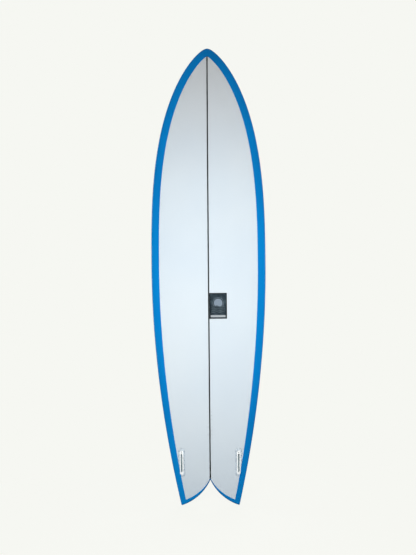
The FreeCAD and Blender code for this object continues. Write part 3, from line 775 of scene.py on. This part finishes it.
def foam_material():
    """Shaped white foam under clear glass, with a shaper's faint pencil ticks beside the stringer, and
    painted warm light towards the nose.
    """
    material, tree, shader = new_material("white_foam", Roughness=0.8, Specular_IOR_Level=0.1)
    broad = ramp(tree, noise(tree, 2.2, 2.0), (0.3, linear(208, 220, 229)), (0.7, linear(215, 225, 231)))
    cells = ramp(tree, noise(tree, 1400.0, 2.0), (0.3, grey(0.94)), (0.7, grey(1.0)))
    colour = mixed(tree, 1.0, broad, cells, "MULTIPLY")
    axes = add(tree, "ShaderNodeSeparateXYZ", {"Vector": place_of(tree)}).outputs
    # Warmer towards the nose: painted light, the tint of the light falling there, not of the foam.
    nose = add(tree, "ShaderNodeMapRange", {"Value": axes["Z"], "From Min": 0.45, "From Max": 1.05})
    painted_warm_light = mixed(tree, 1.0, colour, (1.0, 0.93, 0.88, 1.0), "MULTIPLY")
    colour = mixed(tree, nose.outputs["Result"], colour, painted_warm_light)
    beside = within(tree, maths(tree, "ABSOLUTE", axes["X"]), 0.005, 0.013, 0.001)
    stretch = within(tree, axes["Z"], -0.79, -0.64, 0.002)
    steps = maths(tree, "FRACT", maths(tree, "DIVIDE", maths(tree, "ADD", axes["Z"], 2.0), 0.0185))
    strokes = within(tree, steps, 0.42, 0.58, 0.05)
    wear = ramp(tree, noise(tree, 90.0, 3.0), (0.42, grey(0.0)), (0.62, grey(0.55)))
    marks = maths(tree, "MULTIPLY", maths(tree, "MULTIPLY", beside, stretch), strokes)
    below = within(tree, axes["Y"], -0.01, 0.03, 0.001)
    marks = maths(tree, "MULTIPLY", maths(tree, "MULTIPLY", marks, wear), below)
    colour = mixed(tree, marks, colour, linear(96, 102, 110))
    tree.links.new(colour, shader.inputs["Base Color"])
    bump(tree, shader, noise(tree, 900.0, 2.0), 0.25, 0.0002)
    return material


def blue_material():
    """Pigmented glass laminate: pooled colour, faint cloth, polished."""
    material, tree, shader = new_material("blue_pigment_glass", Coat_Weight=0.3)
    pools = ramp(
        tree, noise(tree, 5.0, 4.0, (1, 1, 0.35)),
        (0.32, linear(0, 110, 177)), (0.5, linear(0, 118, 188)), (0.7, linear(0, 125, 196)))
    cloth = ramp(tree, weave(tree, CLOTH_PITCH), (0.0, grey(0.95)), (1.0, grey(1.0)))
    specks = ramp(tree, noise(tree, 260.0, 2.0), (0.25, grey(0.93)), (0.45, grey(1.0)))
    colour = mixed(tree, 1.0, mixed(tree, 1.0, pools, cloth, "MULTIPLY"), specks, "MULTIPLY")
    tree.links.new(colour, shader.inputs["Base Color"])
    roughness(tree, shader, noise(tree, 30.0, 4.0), 0.05, 0.13)
    bump(tree, shader, noise(tree, 14.0, 2.0), 0.05, 0.0004)
    return material


def glass_material():
    """Clear glassed and polished laminate: only its gloss shows."""
    material = bpy.data.materials.new("clear_glass")
    material.use_nodes = True
    tree = material.node_tree
    tree.nodes.clear()
    cloth = weave(tree, CLOTH_PITCH)
    tint = ramp(tree, cloth, (0.0, grey(0.965)), (1.0, grey(0.99)))
    clear = add(tree, "ShaderNodeBsdfTransparent", {"Color": tint})
    polish = add(tree, "ShaderNodeMapRange", {
        "Value": noise(tree, 22.0, 4.0), "To Min": 0.05, "To Max": 0.12})
    waves = add(tree, "ShaderNodeBump", {
        "Height": noise(tree, 9.0, 2.0), "Strength": 0.05, "Distance": 0.0004})
    gloss = add(tree, "ShaderNodeBsdfGlossy", {
        "Roughness": polish.outputs["Result"], "Normal": waves.outputs["Normal"]})
    mirror = add(tree, "ShaderNodeFresnel", {"IOR": 1.5})
    front = maths(tree, "SUBTRACT", 1.0, add(tree, "ShaderNodeNewGeometry").outputs["Backfacing"])
    share = maths(tree, "MULTIPLY", mirror.outputs["Fac"], front)
    both = add(tree, "ShaderNodeMixShader", {"Fac": share})
    tree.links.new(clear.outputs["BSDF"], both.inputs[1])
    tree.links.new(gloss.outputs["BSDF"], both.inputs[2])
    output = add(tree, "ShaderNodeOutputMaterial")
    tree.links.new(both.outputs["Shader"], output.inputs["Surface"])
    return material


def wood_material():
    material, tree, shader = new_material("stringer_wood_grain", Roughness=0.6)
    grain = ramp(
        tree, noise(tree, 30.0, 6.0, (60, 8, 1), 0.65),
        (0.3, linear(18, 21, 21)), (0.5, linear(27, 30, 29)), (0.72, linear(40, 41, 38)))
    rings = ramp(tree, noise(tree, 6.0, 2.0, (4, 1, 1)), (0.3, grey(0.85)), (0.7, grey(1.0)))
    tree.links.new(mixed(tree, 1.0, grain, rings, "MULTIPLY"), shader.inputs["Base Color"])
    bump(tree, shader, noise(tree, 30.0, 6.0, (60, 8, 1)), 0.2, 0.0002)
    return material


def plastic_material(name, red, green, blue):
    material, tree, shader = new_material(name)
    dull = linear(red - 8, green - 7, blue - 6)
    tone = ramp(tree, noise(tree, 60.0, 3.0), (0.3, dull), (0.7, linear(red, green, blue)))
    scuffs = ramp(tree, noise(tree, 500.0, 4.0, (1, 1, 0.2)), (0.28, grey(0.9)), (0.42, grey(1.0)))
    tree.links.new(mixed(tree, 1.0, tone, scuffs, "MULTIPLY"), shader.inputs["Base Color"])
    roughness(tree, shader, noise(tree, 220.0, 3.0), 0.28, 0.46)
    bump(tree, shader, noise(tree, 1500.0, 2.0), 0.15, 0.0001)
    return material


def slot_shade_material():
    """Inside of the fin slot: the box's plastic in painted shade, grey-teal and darker towards both ends."""
    material, tree, shader = new_material("slot_plastic_painted_shade")
    end = add(tree, "ShaderNodeAttribute", attribute_name="slot_end").outputs["Fac"]
    shade = ramp(
        tree, end, (0.0, linear(212, 226, 228)), (0.55, linear(194, 210, 213)), (0.85, linear(136, 154, 160)))
    grain = ramp(tree, noise(tree, 400.0, 3.0), (0.3, grey(0.85)), (0.7, grey(1.0)))
    tree.links.new(mixed(tree, 1.0, shade, grain, "MULTIPLY"), shader.inputs["Base Color"])
    roughness(tree, shader, noise(tree, 300.0, 3.0), 0.4, 0.6)
    return material


def shaded_resin_material(name, place=None):
    """Potting resin with fine bubbles, in a dark grey-blue that is painted shade, as down a flange's deep
    perforations. Round a fin box's flange it is thick with foam dust.
    """
    material, tree, shader = new_material(name)
    # Dark grey-blue: painted shade for the deep perforations, not the resin's own colour.
    painted_shade_tone = ramp(tree, noise(tree, 120.0, 3.0), (0.3, linear(112, 132, 160)), (0.7, linear(140, 160, 184)))
    cells = add(tree, "ShaderNodeTexVoronoi", {"Vector": place_of(tree), "Scale": 700.0})
    bubbles = cells.outputs["Distance"]
    spots = ramp(tree, bubbles, (0.12, grey(0.86)), (0.22, grey(1.0)))
    colour = mixed(tree, 1.0, painted_shade_tone, spots, "MULTIPLY")
    if place:
        local = add(tree, "ShaderNodeMapping", {
            "Vector": place_of(tree), "Location": place.translation, "Rotation": place.to_euler(),
        }, vector_type="TEXTURE").outputs["Vector"]
        axes = add(tree, "ShaderNodeSeparateXYZ", {"Vector": local}).outputs
        dust = ramp(tree, noise(tree, 900.0, 2.0), (0.3, linear(204, 216, 225)), (0.7, linear(212, 222, 230)))
        # Over the perforated middle of the flange the resin keeps its painted shade; round the flange it
        # takes the dust colour.
        under = maths(
            tree, "MULTIPLY", within(tree, axes["X"], -0.0605, 0.0605, 0.0004),
            within(tree, axes["Y"], -0.0152, 0.0152, 0.0004))
        colour = mixed(tree, under, dust, colour)
    tree.links.new(colour, shader.inputs["Base Color"])
    roughness(tree, shader, noise(tree, 180.0, 2.0), 0.18, 0.34)
    bump(tree, shader, bubbles, 0.1, 0.0001)
    return material


def steel_material():
    material, tree, shader = new_material("stainless_turned", Metallic=1.0)
    tone = ramp(tree, noise(tree, 900.0, 4.0), (0.3, linear(150, 160, 156)), (0.7, linear(196, 204, 200)))
    tree.links.new(tone, shader.inputs["Base Color"])
    roughness(tree, shader, noise(tree, 1500.0, 3.0), 0.22, 0.42)
    bump(tree, shader, noise(tree, 2500.0, 2.0), 0.1, 0.00005)
    return material


def decal_material():
    """Printed paper panel: a plain sun over waves and a pale stripe, no lettering."""
    material, tree, shader = new_material("printed_decal", Roughness=0.7, Specular_IOR_Level=0.2)
    axes = add(tree, "ShaderNodeSeparateXYZ", {"Vector": place_of(tree)}).outputs
    across = maths(tree, "SUBTRACT", axes["X"], DECAL_LEFT + DECAL_WIDE / 2)
    up = maths(tree, "SUBTRACT", axes["Z"], DECAL_MIDDLE_Z)
    slate = ramp(
        tree, noise(tree, 55.0, 5.0), (0.3, linear(35, 46, 54)), (0.55, linear(52, 65, 73)),
        (0.75, linear(78, 91, 98)))
    panel = maths(
        tree, "MULTIPLY", within(tree, across, -0.0375, 0.0375, 0.0006),
        within(tree, up, -0.0575, 0.0575, 0.0006))
    colour = mixed(tree, panel, linear(5, 12, 19), slate)
    above = maths(tree, "SUBTRACT", up, 0.014)
    radius = maths(tree, "SQRT", maths(
        tree, "ADD", maths(tree, "MULTIPLY", across, across), maths(tree, "MULTIPLY", above, above)))
    sun = within(tree, radius, -1.0, 0.0205, 0.0005)
    ring = within(tree, radius, 0.0250, 0.0262, 0.0004)
    swell = maths(tree, "MULTIPLY", maths(tree, "SINE", maths(tree, "MULTIPLY", across, 210.0)), 0.0022)
    crest = maths(tree, "ADD", up, swell)
    water = within(tree, crest, -1.0, -0.0005, 0.0005)
    dry = maths(tree, "SUBTRACT", 1.0, water)
    disc = maths(tree, "MULTIPLY", maths(tree, "MAXIMUM", sun, ring), dry)
    colour = mixed(tree, disc, colour, linear(132, 147, 161))
    lines = within(tree, maths(tree, "FRACT", maths(tree, "DIVIDE", crest, 0.0085)), 0.38, 0.62, 0.04)
    waves = maths(
        tree, "MULTIPLY", maths(tree, "MULTIPLY", lines, within(tree, crest, -0.034, -0.0005, 0.0005)),
        within(tree, across, -0.032, 0.032, 0.001))
    colour = mixed(tree, waves, colour, linear(92, 104, 112))
    stripe = maths(
        tree, "MULTIPLY", within(tree, across, -0.0365, 0.0345, 0.0005),
        within(tree, up, -0.0545, -0.0445, 0.0005))
    pale = ramp(tree, noise(tree, 420.0, 3.0), (0.3, linear(158, 166, 171)), (0.7, linear(180, 187, 192)))
    colour = mixed(tree, stripe, colour, pale)
    paper = ramp(tree, noise(tree, 1300.0, 3.0), (0.3, grey(0.88)), (0.7, grey(1.0)))
    tree.links.new(mixed(tree, 1.0, colour, paper, "MULTIPLY"), shader.inputs["Base Color"])
    bump(tree, shader, noise(tree, 1300.0, 3.0), 0.2, 0.00005)
    return material


FOAM = foam_material()
BLUE = blue_material()
GLASS = glass_material()
PLASTIC = plastic_material("white_moulded_plastic", 243, 247, 247)
STEEL = steel_material()


def dress(piece, material, node=None):
    """Material, ride and the CAD node that a piece stands for."""
    piece.data.materials.clear()
    piece.data.materials.append(material)
    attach(piece, "board")
    if node:
        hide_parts(node)


dress(foam_left, FOAM, "foam_blank_left")
dress(foam_right, FOAM, "foam_blank_right")
dress(stringer, wood_material(), "stringer")
dress(bottom_glass, GLASS, "bottom_laminate")
dress(deck_glass, GLASS, "deck_laminate")
dress(wrap_left, BLUE, "rail_wrap_left")
dress(wrap_right, BLUE, "rail_wrap_right")
dress(decal, decal_material(), "logo_decal")
dress(plug_cup, PLASTIC, "leash_plug_cup")
# Inside the slots, the box's plastic with painted shade.
slot_in_painted_shade = slot_shade_material()
under_glass = plastic_material("plastic_under_glass", 206, 218, 226)
for side, box in fin_boxes.items():
    dress(box, PLASTIC, f"fin_box_{side}")
    box.data.materials.append(slot_in_painted_shade)
    box.data.materials.append(under_glass)
    box_finishes(box, BOX_FRAMES[side])

KEPT = {
    "fin_box_bed_left": shaded_resin_material("resin_in_painted_shade_left", BOX_FRAMES["left"]),
    "fin_box_bed_right": shaded_resin_material("resin_in_painted_shade_right", BOX_FRAMES["right"]),
    "leash_plug_bed": shaded_resin_material("potting_resin"),
    "fin_screw_left": STEEL, "fin_screw_right": STEEL, "leash_plug_bar": STEEL,
}
for name, material in KEPT.items():
    for slot in frame["nodes"][name].material_slots:
        slot.material = material


# ---------------------------------------------------------------- floor, light, camera

BACKGROUND = linear(246, 247, 242)
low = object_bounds()[0]


def floor_disc():
    """Pale floor under the tail, whose glow matches the background."""
    count = 96
    turns = np.arange(count) * 2 * np.pi / count
    rings = [0.25, 0.7, 1.5, 3.5, 9.0, 24.0]
    points = [(0, 0, low[2])]
    points += [(r * math.cos(t), r * math.sin(t), low[2]) for r in rings for t in turns]
    faces = [(0, 1 + k, 1 + (k + 1) % count) for k in range(count)]
    for ring in range(len(rings) - 1):
        for k in range(count):
            a = 1 + ring * count + k
            b = 1 + ring * count + (k + 1) % count
            faces.append((a, a + count, b + count, b))
    floor = finish_mesh("studio_floor", points, faces)
    material = bpy.data.materials.new("pale_floor")
    material.use_nodes = True
    tree = material.node_tree
    tree.nodes.clear()
    tone = ramp(tree, noise(tree, 3.0, 3.0), (0.3, grey(0.86)), (0.7, grey(0.9)))
    matt = add(tree, "ShaderNodeBsdfDiffuse", {"Color": tone})
    glow = add(tree, "ShaderNodeEmission", {"Color": BACKGROUND, "Strength": 1.0})
    from_board = add(tree, "ShaderNodeVectorMath", {
        0: place_of(tree), 1: (0, 0, low[2])}, operation="DISTANCE")
    near = add(tree, "ShaderNodeMapRange", {
        "Value": from_board.outputs["Value"], "From Min": 0.1, "From Max": 1.3, "To Min": 0.05, "To Max": 0.0,
    }, interpolation_type="SMOOTHSTEP")
    both = add(tree, "ShaderNodeMixShader", {"Fac": near.outputs["Result"]})
    tree.links.new(glow.outputs["Emission"], both.inputs[1])
    tree.links.new(matt.outputs["BSDF"], both.inputs[2])
    output = add(tree, "ShaderNodeOutputMaterial")
    tree.links.new(both.outputs["Shader"], output.inputs["Surface"])
    floor.data.materials.append(material)
    floor.visible_glossy = False
    floor.visible_diffuse = False


floor_disc()


def soft_light(name, place, aim, wide, tall, power, mirrored):
    light = bpy.data.lights.new(name, "AREA")
    light.shape = "RECTANGLE"
    light.size = wide
    light.size_y = tall
    light.energy = power
    lamp = bpy.data.objects.new(name, light)
    lamp.location = place
    lamp.rotation_euler = (Vector(aim) - Vector(place)).to_track_quat("-Z", "Y").to_euler()
    lamp.visible_camera = False
    lamp.visible_glossy = mirrored
    bpy.context.scene.collection.objects.link(lamp)


soft_light("key", (0.0, -1.95, -0.03), (0, 0, -0.03), 0.7, 0.7, 48.0, False)
soft_light("back_key", (0.4, 2.6, 0.4), (0, 0, 0), 1.6, 1.6, 68.0, False)
for name, x in (("strip_left", -2.6), ("strip_right", 2.6)):
    soft_light(name, (x, 0.5, 0.3), (0, 0, 0), 0.5, 2.6, 18.0, True)

world = bpy.data.worlds.new("studio")
bpy.context.scene.world = world
world.use_nodes = True
tree = world.node_tree
tree.nodes.clear()
seen = add(tree, "ShaderNodeBackground", {"Color": BACKGROUND, "Strength": 1.0})
lit = add(tree, "ShaderNodeBackground", {"Color": grey(1.0), "Strength": 0.27})
mirrored = add(tree, "ShaderNodeBackground", {"Color": grey(1.0), "Strength": 0.05})
rays = add(tree, "ShaderNodeLightPath").outputs
around = add(tree, "ShaderNodeMixShader", {"Fac": rays["Is Glossy Ray"]})
tree.links.new(lit.outputs["Background"], around.inputs[1])
tree.links.new(mirrored.outputs["Background"], around.inputs[2])
both = add(tree, "ShaderNodeMixShader", {"Fac": rays["Is Camera Ray"]})
tree.links.new(around.outputs["Shader"], both.inputs[1])
tree.links.new(seen.outputs["Background"], both.inputs[2])
output = add(tree, "ShaderNodeOutputWorld")
tree.links.new(both.outputs["Shader"], output.inputs["Surface"])

CAMERA_DISTANCE = 5.0
CAMERA_LENS = 67.46
CAMERA_SENSOR = 36.0             # on the picture's longer side
CAMERA_ROLL = 0.49               # degrees
CAMERA_SIDE = 1.0                # degrees to the right of straight in front
CAMERA_SHIFT = (-0.0023, -0.0102)

camera_data = bpy.data.cameras.new("camera")
camera_data.sensor_fit = "VERTICAL"
camera_data.sensor_height = CAMERA_SENSOR
camera_data.lens = CAMERA_LENS
camera_data.clip_end = 60.0
camera = bpy.data.objects.new("camera", camera_data)
camera.matrix_world = (
    Matrix.Rotation(math.radians(CAMERA_SIDE), 4, "Z")
    @ Matrix.Translation((CAMERA_SHIFT[0], -CAMERA_DISTANCE, CAMERA_SHIFT[1]))
    @ Matrix.Rotation(math.pi / 2, 4, "X")
    @ Matrix.Rotation(-math.radians(CAMERA_ROLL), 4, "Z")
)
bpy.context.scene.collection.objects.link(camera)
bpy.context.scene.camera = camera
bpy.context.scene.view_settings.view_transform = "Standard"
